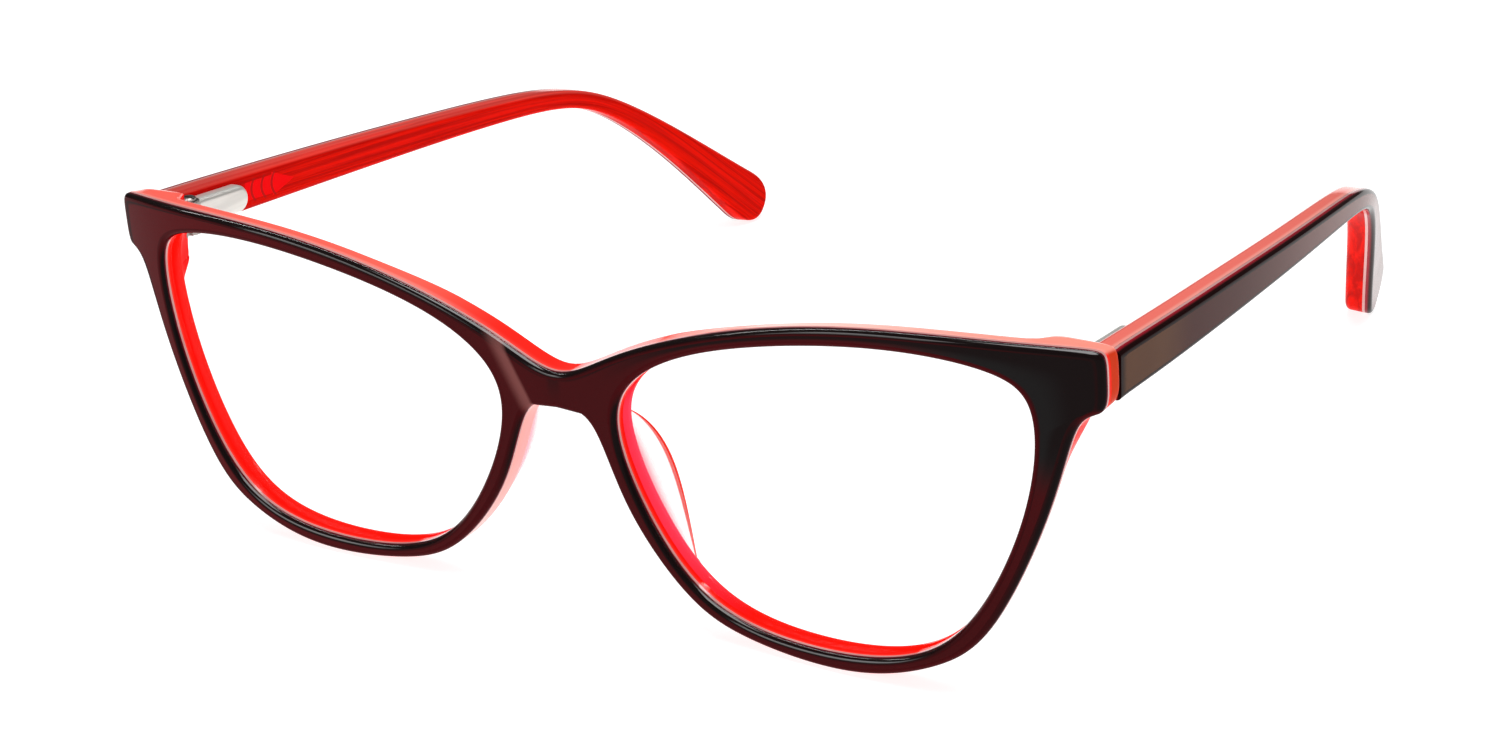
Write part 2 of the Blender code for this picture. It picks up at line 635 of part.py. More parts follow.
def build_side(side):
    tag = "LR"[side < 0]
    shape, quads, loop = T_SHEET
    layers = {}
    for part, look in (("outer", "dark_acetate"), ("middle", "pale_acetate"), ("inner", "red_acetate")):
        solid = laminate(shape, quads, [(loop, t_edges[part])], place_temple)
        layers[part] = to_object(f"temple_{part}_layer_{tag}", *solid, look, PIVOT, side)

    # Spring box, its pocket, and the slot its knuckle passes through.
    s0, s1 = BOX[0] - AXIS[1], BOX[1] - AXIS[1]
    box = bar((s0, s1), BOX_X, BOX_HALF, BOX_HALF, 0.7)
    housing = to_object(f"spring_housing_{tag}", *box, "silver_metal", PIVOT, side)
    drill(housing, f"box_bore_{tag}", rod([(1.12, s0 + 0.7), (1.12, s1 - 0.8)]), side)
    drill(housing, f"box_mouth_{tag}", rod([(0.56, s0 - 1.0), (0.56, s0 + 1.5)]), side)
    room = BOX_HALF + 0.12
    pocket = bar((s0 - 4.5, s1 + 0.12), (BOX_X[0] - 2, BOX_X[1] + 0.12), room, room)
    drill(layers["inner"], f"box_pocket_{tag}", pocket, side)
    drill(layers["inner"], f"wire_channel_{tag}", core_wire(0.3), side)
    to_object(f"temple_core_wire_{tag}", *core_wire(), "core_metal", PIVOT, side)

    # Slider: middle knuckle, arm and rod. The cap on the rod's end holds the spring.
    eye = knuckle(AXIS_Z - EYE_HALF, AXIS_Z + EYE_HALF)
    arm_x, arm_y = (AXIS[0] + 0.3, ROD_X + 0.7), (AXIS[1] + 0.1, BOX[0] - 0.15)
    arm = block(arm_x, arm_y, (AXIS_Z - 0.69, AXIS_Z + 0.69))
    shaft = rod([(0.5, s0 - 0.9), (0.5, s0 + 7.6)])
    slider = joined(f"hinge_slider_{tag}", [eye, arm, shaft], "silver_metal", side)
    drill(slider, f"eye_bore_{tag}", axis_cutter(SCREW_R + RUN, 2), side)
    cap = rod([(1.0, s0 + 7.0), (1.0, s0 + 7.8)])
    stop = to_object(f"rod_stop_{tag}", *cap, "silver_metal", PIVOT, side)
    drill(stop, f"stop_bore_{tag}", rod([(0.53, s0 + 6.5), (0.53, s0 + 8.5)]), side)
    to_object(f"hinge_spring_{tag}", *coil(), "silver_metal", PIVOT, side)

    # Front knuckles on a plate that lies on the end piece's back.
    x, z, clear = AXIS[0], AXIS_Z, EYE_HALF + EYE_GAP
    low = knuckle(z - BARREL_HALF, z - clear)
    high = knuckle(z + clear, z + BARREL_HALF)
    reach = (END_BACK + 0.3, AXIS[1])
    low_arm = block((x - 1.2, x + 1.2), reach, (z - 2.1, z - clear - 0.01))
    high_arm = block((x - 1.2, x + 1.2), reach, (z + clear + 0.01, z + 2.1))
    plate = block((x - 0.7, x + 3.9), (END_BACK - 0.95, END_BACK - 0.05), (z - 2.3, z + 2.3))
    neck = block((x - 0.9, x + 0.9), (END_BACK - 0.5, AXIS[1] - 1.0), (z - 2.0, z + 2.0))
    solids = [plate, neck, low_arm, high_arm, low, high]
    hinge = joined(f"front_hinge_plate_{tag}", solids, "silver_metal", side)
    drill(hinge, f"plate_gap_{tag}", axis_cutter(BARREL_R + 0.12, clear), side)
    drill(hinge, f"plate_bore_{tag}", axis_cutter(SCREW_R + RUN, 4), side)
    seat = block((x - 0.95, x + 4.0), (END_BACK - 1.05, END_BACK + 1.0), (z - 2.4, z + 2.4))
    drill(front_nodes["front_back_layer"], f"plate_seat_{tag}", seat, side)

    # Screw: head above the barrel, slot across the head.
    top = AXIS_Z + BARREL_HALF
    profile = [(0.5, AXIS_Z - BARREL_HALF - 0.1), (SCREW_R, AXIS_Z - BARREL_HALF), (SCREW_R, top + 0.05)]
    profile += [(1.05, top + 0.05), (1.05, top + 0.3), (0.8, top + 0.5)]
    turned = upright(AXIS, profile, BARREL_STEPS)
    screw = to_object(f"hinge_screw_{tag}", *turned, "silver_metal", PIVOT, side)
    slot = block((x - 2, x + 2), (AXIS[1] - 0.13, AXIS[1] + 0.13), (top + 0.25, top + 1))
    drill(screw, f"screw_slot_{tag}", slot, side)

    lens(side)
    nose_pad(side)


for side in (1, -1):
    build_side(side)
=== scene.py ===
"""Cat-eye spectacles in laminated acetate, shown open on a pale studio floor.

The layers, lenses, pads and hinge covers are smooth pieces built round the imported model, from the
same curves. Numbers are millimetres, y counted from the bridge's front face, until to_piece.
"""

import math

import bmesh
import bpy
import numpy as np
from mathutils import Matrix, Vector


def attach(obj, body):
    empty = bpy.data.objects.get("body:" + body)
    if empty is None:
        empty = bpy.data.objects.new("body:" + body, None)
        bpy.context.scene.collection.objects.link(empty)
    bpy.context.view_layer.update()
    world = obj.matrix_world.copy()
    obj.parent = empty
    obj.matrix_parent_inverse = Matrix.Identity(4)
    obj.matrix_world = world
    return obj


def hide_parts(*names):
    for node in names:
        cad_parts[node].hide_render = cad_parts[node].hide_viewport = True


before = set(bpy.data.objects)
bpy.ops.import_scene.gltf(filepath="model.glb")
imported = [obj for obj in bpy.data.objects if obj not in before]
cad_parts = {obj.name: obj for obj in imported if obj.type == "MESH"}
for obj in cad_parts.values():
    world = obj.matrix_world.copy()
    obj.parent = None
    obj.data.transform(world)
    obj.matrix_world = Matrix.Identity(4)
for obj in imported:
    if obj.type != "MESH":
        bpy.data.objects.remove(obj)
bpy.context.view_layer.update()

# ---------------------------------------------------------------- shape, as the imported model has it
OUTLINE = [
    (0.0, -6.3), (7.8, -0.7), (26.1, 5.7), (43.9, 8.6), (61.5, 8.6), (68.0, 8.3), (69.05, 7.8),
    (69.1, 4.5), (69.15, 0.5), (65.9, 1.2), (64.0, -9.5), (56.8, -26.8), (50.6, -31.6),
    (39.7, -35.4), (24.0, -34.0), (16.6, -30.8), (8.0, -20.1), (5.2, -8.4), (0.0, -8.9),
]
OPENING = [
    (21.7, 2.5), (43.7, 6.7), (58.0, 5.5), (62.4, 1.9), (61.2, -11.0), (54.9, -25.4),
    (46.9, -32.0), (32.1, -33.3), (19.3, -31.2), (11.6, -21.4), (7.0, -9.7), (10.4, -3.0),
]
EYE = (35.0, -12.0)
RISE = 34.6
MIDDLE_Y = 65.205
BOW_2, BOW_4 = -1.345e-3, 4.19e-7
GAP = 0.02
DARK, PALE, THICK = 0.8, 0.35, 4.0
RED_FROM = DARK + PALE + 2 * GAP
END_BACK, END_STEP, END_FOOT, END_LIP, SWELL_FROM = 7.4, (60.2, 62.4), (-4.5, -0.5), 0.13, 3.2
DRAFT, DRAFT_X, DRAFT_Z = 0.3, (38.0, 54.0), (-1.0, -7.0)
TOP_DRAFT, TOP_Z = 0.2, (1.5, 6.0)
GROOVE_AT, GROOVE_DEEP, HALF_GROOVE = 2.55, 0.9, 0.55
LENS_FRONT, LENS_THICK, LENS_BULGE = 1.5, 2.0, 1.3
TEMPLE = [
    (-1.5, 39.1, 5.7, 67.0), (7.6, 38.5, 5.6, 67.0), (22.0, 37.2, 5.3, 67.0), (42.0, 35.5, 4.7, 66.6),
    (62.0, 33.7, 3.9, 66.0), (80.0, 32.0, 3.3, 65.0), (94.5, 30.0, 2.7, 63.6), (103.5, 25.3, 2.8, 61.4),
    (113.0, 17.5, 4.2, 58.4), (122.0, 8.8, 6.5, 55.4), (131.0, 0.05, 9.3, 52.6), (140.0, -7.0, 10.6, 50.0),
]
BUTT = END_BACK + 0.15
SQUARE = 12.0
TIP_AT, TIP_ROUND, TIP_POWER = 133.6, 5.6, 2.3
T_DARK, T_PALE, T_THICK = 0.9, 0.38, 4.0
AXIS, AXIS_Z = (63.2, 9.0), 38.25
FALL = math.radians(5.1)
BOX, BOX_X, BOX_HALF, BOX_SOFT = (11.0, 20.6), (63.3, 66.85), 1.85, 0.75
T_RED = T_DARK + T_PALE + 2 * GAP

SPOKES, BRIDGE, RINGS = 230, 14, (0.0, 0.05, 0.13, 0.2, 0.4, 0.6, 0.8, 0.93, 1.0)


# ================================================================ curves
def smooth(t):
    t = np.clip(t, 0.0, 1.0)
    return t * t * (3 - 2 * t)


def b_spline(ctrl, t, closed=True):
    ctrl = np.array(ctrl, float)
    t = np.atleast_1d(np.asarray(t, float))
    i = np.floor(t).astype(int)
    u = (t - i)[:, None]
    weights = ((1 - u) ** 3, 3 * u**3 - 6 * u**2 + 4, -3 * u**3 + 3 * u**2 + 3 * u + 1, u**3)
    point = 0
    for k, weight in enumerate(weights):
        j = (i - 1 + k) % len(ctrl) if closed else np.clip(i - 1 + k, 0, len(ctrl) - 1)
        point = point + weight / 6 * ctrl[j]
    return point


def arc(depth, radius, steps, turn=1):
    """Quarter round of an edge as (depth, inset) rows: turn 1 starts on the face, -1 ends on it."""
    angles = np.linspace(0, math.pi / 2, steps + 1)
    rows = [(depth + turn * radius * (1 - math.cos(a)), radius * (1 - math.sin(a))) for a in angles]
    return rows if turn > 0 else rows[::-1]


def normals(ring):
    along = np.roll(ring, -1, 0) - np.roll(ring, 1, 0)
    along = along / (np.linalg.norm(along, axis=1)[:, None] + 1e-12)
    return np.c_[-along[:, 1], along[:, 0]]


def grid_faces(rows, columns, wrap):
    faces = []
    for r in range(rows - 1):
        for c in range(columns if wrap else columns - 1):
            n = (c + 1) % columns
            faces.append((r * columns + c, r * columns + n, (r + 1) * columns + n, (r + 1) * columns + c))
    return faces


def tube(rings):
    rings = [np.array(ring, float) for ring in rings]
    count = len(rings[0])
    faces = grid_faces(len(rings), count, True)
    faces.append(tuple(range(count))[::-1])
    faces.append(tuple(range((len(rings) - 1) * count, len(rings) * count)))
    return np.vstack(rings), faces


# ================================================================ pieces
def to_piece(name, verts, faces, look, body, replaces=(), side=1, marks=None, sharp=40.0):
    """A smooth mesh from millimetre points that rides on a body. marks are float attributes."""
    points = (np.array(verts, float) - (0, MIDDLE_Y, 0)) * (side, 1, 1) * 0.001
    mesh = bpy.data.meshes.new(name)
    mesh.from_pydata(points.tolist(), [], [list(f)[::side] for f in faces])
    for mark, values in (marks or {}).items():
        mesh.attributes.new(mark, "FLOAT", "POINT").data.foreach_set("value", np.array(values, np.float32))
    bm = bmesh.new()
    bm.from_mesh(mesh)
    bmesh.ops.recalc_face_normals(bm, faces=bm.faces)
    bm.to_mesh(mesh)
    bm.free()
    mesh.polygons.foreach_set("use_smooth", [True] * len(mesh.polygons))
    mesh.set_sharp_from_angle(angle=math.radians(sharp))
    mesh.materials.append(LOOK[look])
    obj = bpy.data.objects.new(name, mesh)
    bpy.context.scene.collection.objects.link(obj)
    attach(obj, body)
    if replaces:
        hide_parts(*replaces)
    return obj


def laminate(shape, quads, rims, place):
    """Closed sheet: (points, faces, marks).

    Marks: depth below the sheets' front face, rim (1 on an edge), flat_u and flat_v (place on the unbent
    sheet, mm) and, on the front, across (0 at the opening, 1 at the outline).
    """
    whole = [shape([profile[end][1] for _, profile in rims]) for end in (0, -1)]
    ends = [rims[0][1][0][0], rims[0][1][-1][0]]
    points = [place(whole[0], ends[0]), place(whole[1], ends[1])]
    size = len(whole[0])
    flat = [np.vstack(whole)]
    depths = [np.full(size, ends[0]), np.full(size, ends[1])]
    on_rim = np.zeros(size)
    for loop, _ in rims:
        on_rim[loop] = 1.0
    rim = [on_rim, on_rim]
    count = 2 * size
    faces = list(quads) + [tuple(i + size for i in q[::-1]) for q in quads]
    for loop, profile in rims:
        rows = [list(loop)]
        for depth, inset in profile[1:-1]:
            ring = shape([inset] * len(rims))[loop]
            points.append(place(ring, depth))
            flat.append(ring)
            depths.append(np.full(len(loop), depth))
            rim.append(np.ones(len(loop)))
            rows.append(list(range(count, count + len(loop))))
            count += len(loop)
        rows.append([i + size for i in loop])
        for upper, lower in zip(rows, rows[1:]):
            for k in range(len(loop)):
                n = (k + 1) % len(loop)
                faces.append((upper[n], upper[k], lower[k], lower[n]))
    flat = np.vstack(flat)
    marks = {"depth": np.concatenate(depths), "rim": np.concatenate(rim)}
    marks["flat_u"], marks["flat_v"] = flat[:, 0], flat[:, 1]
    if flat.shape[1] > 2:
        marks["across"] = flat[:, 2]
    return np.vstack(points), faces, marks


# ================================================================ materials
def node(tree, kind, inputs=None, **props):
    made = tree.nodes.new(kind)
    for key, value in props.items():
        setattr(made, key, value)
    for key, value in (inputs or {}).items():
        socket = made.inputs[key]
        if isinstance(value, bpy.types.NodeSocket):
            tree.links.new(value, socket)
        else:
            socket.default_value = value
    return made


def attribute(tree, name):
    return node(tree, "ShaderNodeAttribute", attribute_name=name).outputs["Fac"]


def calc(tree, operation, *values, clamp=False):
    made = node(tree, "ShaderNodeMath", operation=operation, use_clamp=clamp)
    for k, value in enumerate(values):
        if isinstance(value, bpy.types.NodeSocket):
            tree.links.new(value, made.inputs[k])
        else:
            made.inputs[k].default_value = value
    return made.outputs[0]


def spread(tree, value, low, high, out_low=0.0, out_high=1.0):
    """Value mapped from low..high, smoothly and without overshoot."""
    made = node(tree, "ShaderNodeMapRange", {0: value, 1: low, 2: high, 3: out_low, 4: out_high},
                interpolation_type="SMOOTHSTEP")
    return made.outputs[0]


def mix(tree, factor, a, b):
    made = node(tree, "ShaderNodeMix", data_type="RGBA")
    for key, value in ((0, factor), (6, a), (7, b)):
        if isinstance(value, bpy.types.NodeSocket):
            tree.links.new(value, made.inputs[key])
        else:
            made.inputs[key].default_value = value
    return made.outputs[2]


def new_material(name):
    made = bpy.data.materials.new(name)
    made.use_nodes = True
    tree = made.node_tree
    return made, tree, tree.nodes["Principled BSDF"], tree.nodes["Material Output"]


def place_noise(tree, scale, stretch=(1, 1, 1), detail=3.0):
    where = node(tree, "ShaderNodeTexCoord").outputs["Object"]
    moved = node(tree, "ShaderNodeMapping", {"Vector": where, "Scale": stretch}).outputs[0]
    made = node(tree, "ShaderNodeTexNoise", {"Vector": moved, "Scale": scale, "Detail": detail})
    return made.outputs["Fac"]


def polish(tree, shader, amount=0.02, low=0.06, high=0.13):
    """The faint unevenness of buffed acetate, in roughness and bump."""
    hazy = place_noise(tree, 260.0, detail=4.0)
    tree.links.new(spread(tree, hazy, 0.3, 0.7, low, high), shader.inputs["Roughness"])
    wavy = place_noise(tree, 90.0, detail=1.0)
    bump = node(tree, "ShaderNodeBump", {"Strength": amount, "Distance": 0.0004, "Height": wavy})
    tree.links.new(bump.outputs[0], shader.inputs["Normal"])


def facing(tree, axis):
    """One component of the surface normal in the world."""
    normal = node(tree, "ShaderNodeNewGeometry").outputs["Normal"]
    return node(tree, "ShaderNodeSeparateXYZ", {0: normal}).outputs[axis]


def times(tree, *values):
    product = values[0]
    for value in values[1:]:
        product = calc(tree, "MULTIPLY", product, value)
    return product


def front_dark():
    """Deep burgundy with painted light: edges turned up and to +X and upper stretches go near-black as
    painted shade and dark reflection; painted reflection darkens the +X end, lightens the -X end.
    """
    made, tree, shader, _ = new_material("front_dark_acetate")
    face, soft = (0.070, 0.0058, 0.0072, 1), (0.060, 0.0052, 0.0064, 1)
    light = (0.098, 0.0066, 0.0086, 1)
    black, ends = (0.0100, 0.0058, 0.0060, 1), (0.0150, 0.0135, 0.0136, 1)
    cut = (0.22, 0.012, 0.026, 1)
    u, v = attribute(tree, "flat_u"), attribute(tree, "flat_v")
    depth, rim, across = attribute(tree, "depth"), attribute(tree, "rim"), attribute(tree, "across")
    up = facing(tree, 2)
    tone = mix(tree, spread(tree, place_noise(tree, 38.0, detail=3.0), 0.35, 0.65), face, soft)
    # painted reflection: lighter towards the -X end
    tone = mix(tree, spread(tree, u, -22.0, -56.0), tone, light)
    # painted dark reflection: the upper part of the +X end darker and greyer
    tone = mix(tree, times(tree, spread(tree, u, 38.0, 56.0), spread(tree, v, -9.5, -3.5)), tone, ends)
    # painted shade and dark reflection: near-black over the upper face right of the bridge and along the
    # outline
    broad_painted_shade = times(tree, spread(tree, across, 0.12, 0.6), spread(tree, u, 4.0, 20.0))
    painted_shade_band = calc(tree, "MAXIMUM", broad_painted_shade, spread(tree, across, 0.84, 0.95))
    tone = mix(tree, times(tree, painted_shade_band, spread(tree, v, -9.0, -2.0), 0.9), tone, black)
    # painted shade and dark reflection: rounded edges turned upwards and towards +X go near-black
    turned = calc(tree, "ADD", times(tree, facing(tree, 0), 0.6), times(tree, up, 0.8))
    rounded = mix(tree, spread(tree, turned, -0.05, 0.30), (0.062, 0.0025, 0.004, 1), black)
    tone = mix(tree, spread(tree, rim, 0.1, 0.9), tone, rounded)
    tone = mix(tree, spread(tree, depth, 0.45, 0.8), tone, cut)
    # painted highlight: a pale diagonal beside the bridge, where the front curves
    slant = calc(tree, "ADD", u, times(tree, v, 0.5))
    highlight_streak = times(tree, spread(tree, slant, -10.6, -8.5), spread(tree, slant, -7.6, -8.3))
    sheen = times(tree, highlight_streak, spread(tree, v, -14.0, -9.0), 0.55)
    tone = mix(tree, sheen, tone, (0.34, 0.12, 0.11, 1))
    tree.links.new(tone, shader.inputs["Base Color"])
    tree.links.new(spread(tree, up, 0.2, 0.75, 0.025, 0.75), shader.inputs["Specular IOR Level"])
    polish(tree, shader)
    return made


def temple_dark():
    """The same sheet on the temples; its flat side is painted from brown by the hinge through dark red to
    warm grey, a painted reflection of the grey around it.
    """
    made, tree, shader, _ = new_material("temple_dark_acetate")
    u, depth, rim = attribute(tree, "flat_u"), attribute(tree, "depth"), attribute(tree, "rim")
    cloud = place_noise(tree, 38.0, detail=3.0)
    # painted reflection: brown by the hinge, dark red, then warm grey further back
    near = mix(tree, spread(tree, u, 9.0, 20.0), (0.142, 0.056, 0.022, 1), (0.070, 0.010, 0.007, 1))
    tone = mix(tree, spread(tree, u, 28.0, 98.0), near, (0.30, 0.14, 0.125, 1))
    tone = mix(tree, spread(tree, cloud, 0.35, 0.65, 0.0, 0.3), tone, (0.050, 0.014, 0.010, 1))
    tone = mix(tree, spread(tree, rim, 0.1, 0.9), tone, (0.014, 0.0040, 0.0040, 1))
    tone = mix(tree, spread(tree, depth, 0.3, 0.8), tone, (0.36, 0.012, 0.026, 1))
    tree.links.new(tone, shader.inputs["Base Color"])
    shader.inputs["IOR"].default_value = 1.16
    tree.links.new(spread(tree, u, 0.0, 110.0, 0.2, 0.7), shader.inputs["Specular IOR Level"])
    shader.inputs["Specular Tint"].default_value = (1.0, 0.62, 0.48, 1)
    polish(tree, shader)
    return made


def pale_acetate():
    made, tree, shader, _ = new_material("pale_acetate_sheet")
    cloud = place_noise(tree, 120.0, detail=3.0)
    tone = mix(tree, spread(tree, cloud, 0.3, 0.7), (0.80, 0.42, 0.40, 1), (0.72, 0.33, 0.31, 1))
    tree.links.new(tone, shader.inputs["Base Color"])
    polish(tree, shader)
    return made


def red_gloss(tree, shader, tone, top, share, glow, sheen=0.6):
    """Upper faces take the sheen and are painted salmon by how they face, as painted light. The others stay
    saturated. The glow is painted light: the tone is emitted.
    """
    up = facing(tree, 2)
    # painted light: upward faces turn to the top tone
    tone = mix(tree, times(tree, spread(tree, up, 0.35, 0.85), share), tone, top)
    tree.links.new(tone, shader.inputs["Base Color"])
    # painted glow: the tone is also given off as emission
    tree.links.new(tone, shader.inputs["Emission Color"])
    shader.inputs["Emission Strength"].default_value = glow
    shader.inputs["IOR"].default_value = 1.22
    tree.links.new(spread(tree, up, 0.3, 0.9, 0.04, sheen), shader.inputs["Specular IOR Level"])
    polish(tree, shader)


def front_red():
    """Bright translucent red: orange on the end pieces' sides, milky pink behind the nose pads; upward
    faces painted salmon and a painted glow are painted light.
    """
    made, tree, shader, _ = new_material("front_red_acetate")
    u, v = attribute(tree, "flat_u"), attribute(tree, "flat_v")
    depth, rim = attribute(tree, "depth"), attribute(tree, "rim")
    cloud = place_noise(tree, 45.0, detail=3.0)
    tone = mix(tree, spread(tree, cloud, 0.34, 0.66), (0.68, 0.002, 0.002, 1), (0.90, 0.003, 0.001, 1))
    tone = mix(tree, spread(tree, rim, 0.2, 1.0, 0.0, 0.8), tone, (0.97, 0.009, 0.004, 1))
    nose = times(tree, spread(tree, calc(tree, "ABSOLUTE", u), 25.0, 12.0), spread(tree, v, -4.0, -9.0))
    tone = mix(tree, times(tree, nose, spread(tree, depth, 1.9, 2.6), 0.95), tone, (0.98, 0.055, 0.115, 1))
    side = times(tree, spread(tree, calc(tree, "ABSOLUTE", u), 66.0, 68.6), spread(tree, depth, 1.4, 2.0))
    tone = mix(tree, side, tone, (0.58, 0.032, 0.002, 1))
    tone = mix(tree, spread(tree, depth, 1.6, 1.2, 0.0, 0.6), tone, (0.95, 0.07, 0.05, 1))
    outline = times(tree, spread(tree, attribute(tree, "across"), 0.5, 0.95), spread(tree, v, -5.0, -9.0))
    pale = times(tree, outline, spread(tree, u, -19.0, -14.0), spread(tree, u, 1.0, -1.0), 0.8)
    tone = mix(tree, pale, tone, (0.95, 0.50, 0.46, 1))
    # painted light: the salmon that upward faces take, paler towards +X and at the front, stronger away
    # from the bridge
    top = mix(tree, spread(tree, u, 4.0, 40.0), (0.95, 0.13, 0.095, 1), (0.93, 0.30, 0.23, 1))
    top = mix(tree, spread(tree, depth, 2.1, 1.4, 0.0, 0.35), top, (0.93, 0.42, 0.38, 1))
    share = spread(tree, calc(tree, "ABSOLUTE", u), 7.0, 24.0, 0.1, 0.95)
    share = times(tree, share, spread(tree, attribute(tree, "across"), 0.3, 0.7))
    # painted glow of 0.32 and the painted salmon go in here
    red_gloss(tree, shader, tone, top, share, 0.32, 0.4)
    return made


def temple_red(tag, pale):
    """Red with lengthwise streaks; the core wire's notched arrow head glows through behind the hinge."""
    made, tree, shader, _ = new_material("temple_red_acetate_" + tag)
    u, v, depth = attribute(tree, "flat_u"), attribute(tree, "flat_v"), attribute(tree, "depth")
    where = node(tree, "ShaderNodeCombineXYZ", {
        "X": times(tree, u, 0.03), "Y": times(tree, v, 1.9), "Z": times(tree, depth, 0.7)}).outputs[0]
    grain = node(tree, "ShaderNodeTexNoise", {
        "Vector": where, "Scale": 1.0, "Detail": 5.0, "Roughness": 0.62, "Distortion": 0.4}).outputs["Fac"]
    tone = mix(tree, spread(tree, grain, 0.38, 0.62), (0.50, 0.004, 0.002, 1), (0.80, 0.007, 0.002, 1))
    # painted shade: darker towards the hinge
    tone = mix(tree, spread(tree, u, 26.0, 2.0, 0.0, 0.65), tone, (0.42, 0.003, 0.003, 1))
    high = calc(tree, "ABSOLUTE", v)
    inside = spread(tree, depth, 3.5, 3.95)
    bend = calc(tree, "ADD", u, times(tree, v, v, -0.28))
    length = times(tree, spread(tree, u, 18.7, 18.3), spread(tree, u, 12.8, 13.4))
    shaft = times(tree, spread(tree, high, 1.35, 1.15), length)
    point = calc(tree, "ADD", high, times(tree, u, 0.38))
    head = times(tree, spread(tree, point, 8.75, 8.55), spread(tree, u, 18.3, 18.6))
    glow = times(tree, calc(tree, "MAXIMUM", shaft, head), inside)
    tone = mix(tree, glow, tone, (0.95, 0.004, 0.006, 1))
    for at in (14.3, 16.3, 18.3):
        away = calc(tree, "ABSOLUTE", calc(tree, "SUBTRACT", bend, at))
        notch = times(tree, spread(tree, away, 0.34, 0.1), spread(tree, high, 1.75, 1.45), inside, 0.8)
        tone = mix(tree, notch, tone, (0.40, 0.012, 0.010, 1))
    wire = times(tree, spread(tree, high, 0.6, 0.25), spread(tree, u, 22.0, 26.0), inside, 0.25)
    tone = mix(tree, wire, tone, (0.95, 0.010, 0.006, 1))
    # painted light: the salmon top tone, with a darker line, that upward faces take; pale sets how much
    across = calc(tree, "SUBTRACT", 3.9, depth)
    line = times(tree, spread(tree, across, 0.1, 0.5), spread(tree, across, 0.9, 0.6))
    top = mix(tree, line, (0.92, 0.19, 0.15, 1), (0.70, 0.12, 0.10, 1))
    top = mix(tree, spread(tree, depth, 2.0, 1.5), top, (0.93, 0.34, 0.28, 1))
    # painted glow of 0.16 and the painted salmon go in here
    red_gloss(tree, shader, tone, top, pale, 0.16)
    return made


def metal(name, colour, rough, metallic=1.0):
    made, tree, shader, _ = new_material(name)
    grain = place_noise(tree, 900.0, (1.0, 0.06, 1.0), detail=2.0)
    tone = mix(tree, spread(tree, grain, 0.3, 0.7), colour, tuple(c * 0.88 for c in colour[:3]) + (1,))
    tree.links.new(tone, shader.inputs["Base Color"])
    shader.inputs["Metallic"].default_value = metallic
    tree.links.new(spread(tree, grain, 0.2, 0.8, rough, rough + 0.14), shader.inputs["Roughness"])
    return made


def lens_plastic():
    """See-through, with only the gloss of its two faces."""
    made, tree, shader, out = new_material("clear_lens_plastic")
    haze = place_noise(tree, 30.0, detail=2.0)
    tone = mix(tree, spread(tree, haze, 0.3, 0.7), (0.90, 0.93, 0.94, 1), (0.86, 0.90, 0.91, 1))
    tree.links.new(tone, shader.inputs["Base Color"])
    shader.inputs["Roughness"].default_value = 0.03
    see = node(tree, "ShaderNodeBsdfTransparent", {"Color": (1, 1, 1, 1)})
    entering = calc(tree, "SUBTRACT", 1.0, node(tree, "ShaderNodeNewGeometry").outputs["Backfacing"])
    gloss = times(tree, node(tree, "ShaderNodeFresnel", {"IOR": 1.25}).outputs[0], entering)
    face = spread(tree, attribute(tree, "rim"), 0.05, 0.5, 0.3, 0.03)
    share = times(tree, gloss, face)
    both = node(tree, "ShaderNodeMixShader", {0: share, 1: see.outputs[0], 2: shader.outputs[0]})
    tree.links.new(both.outputs[0], out.inputs["Surface"])
    return made


def pad_plastic(tag, painted_red_line_share):
    """Clear acetate: milky at its root, tinted there by a painted red reflection of the frame, with a
    painted red reflection line along its free edge and a painted glow.
    """
    made, tree, shader, out = new_material("clear_pad_acetate_" + tag)
    along = attribute(tree, "rim")
    haze = place_noise(tree, 60.0, detail=2.0)
    tone = mix(tree, spread(tree, haze, 0.3, 0.7), (0.78, 0.81, 0.80, 1), (0.72, 0.76, 0.75, 1))
    # painted reflection: the red of the frame at the pad's root
    tone = mix(tree, spread(tree, along, 0.42, 0.05), tone, (0.98, 0.20, 0.30, 1))
    # painted reflection: a red line along the free edge
    line = times(tree, spread(tree, along, 0.87, 0.90), painted_red_line_share)
    tone = mix(tree, line, tone, (0.78, 0.016, 0.004, 1))
    tree.links.new(tone, shader.inputs["Base Color"])
    # painted glow: the tone is also given off as emission
    tree.links.new(tone, shader.inputs["Emission Color"])
    shader.inputs["Emission Strength"].default_value = 0.35
    shader.inputs["Roughness"].default_value = 0.06
    shader.inputs["IOR"].default_value = 1.25
    see = node(tree, "ShaderNodeBsdfTransparent", {"Color": (1, 1, 1, 1)})
    share = calc(tree, "ADD", 0.2, spread(tree, along, 0.45, 0.0, 0.0, 0.6))
    share = calc(tree, "ADD", share, line, clamp=True)
    both = node(tree, "ShaderNodeMixShader", {0: share, 1: see.outputs[0], 2: shader.outputs[0]})
    tree.links.new(both.outputs[0], out.inputs["Surface"])
    return made


LOOK = {
    "front_dark": front_dark(),
    "temple_dark": temple_dark(),
    "pale": pale_acetate(),
    "front_red": front_red(),
    # painted light: the two temple reds differ only in how pale their upward faces are painted, the left
    # much more
    "temple_red_L": temple_red("L", 0.95),
    "temple_red_R": temple_red("R", 0.3),
    "silver": metal("silver_metal_satin", (0.36, 0.33, 0.31, 1), 0.3),
    "ivory": metal("silver_metal_box", (0.84, 0.84, 0.79, 1), 0.3, 0.55),
    "wire": metal("core_wire_metal", (0.55, 0.50, 0.48, 1), 0.3),
    "lens": lens_plastic(),
    # painted reflection: the left pad's red edge line is painted strongly, the right's faintly
    "pad_L": pad_plastic("L", 1.0),
    "pad_R": pad_plastic("R", 0.15),
}


# ================================================================ front
def bow(x):
    return BOW_2 * x**2 + BOW_4 * x**4


def ramp(value, ends):
    return smooth((value - ends[0]) / (ends[1] - ends[0]))


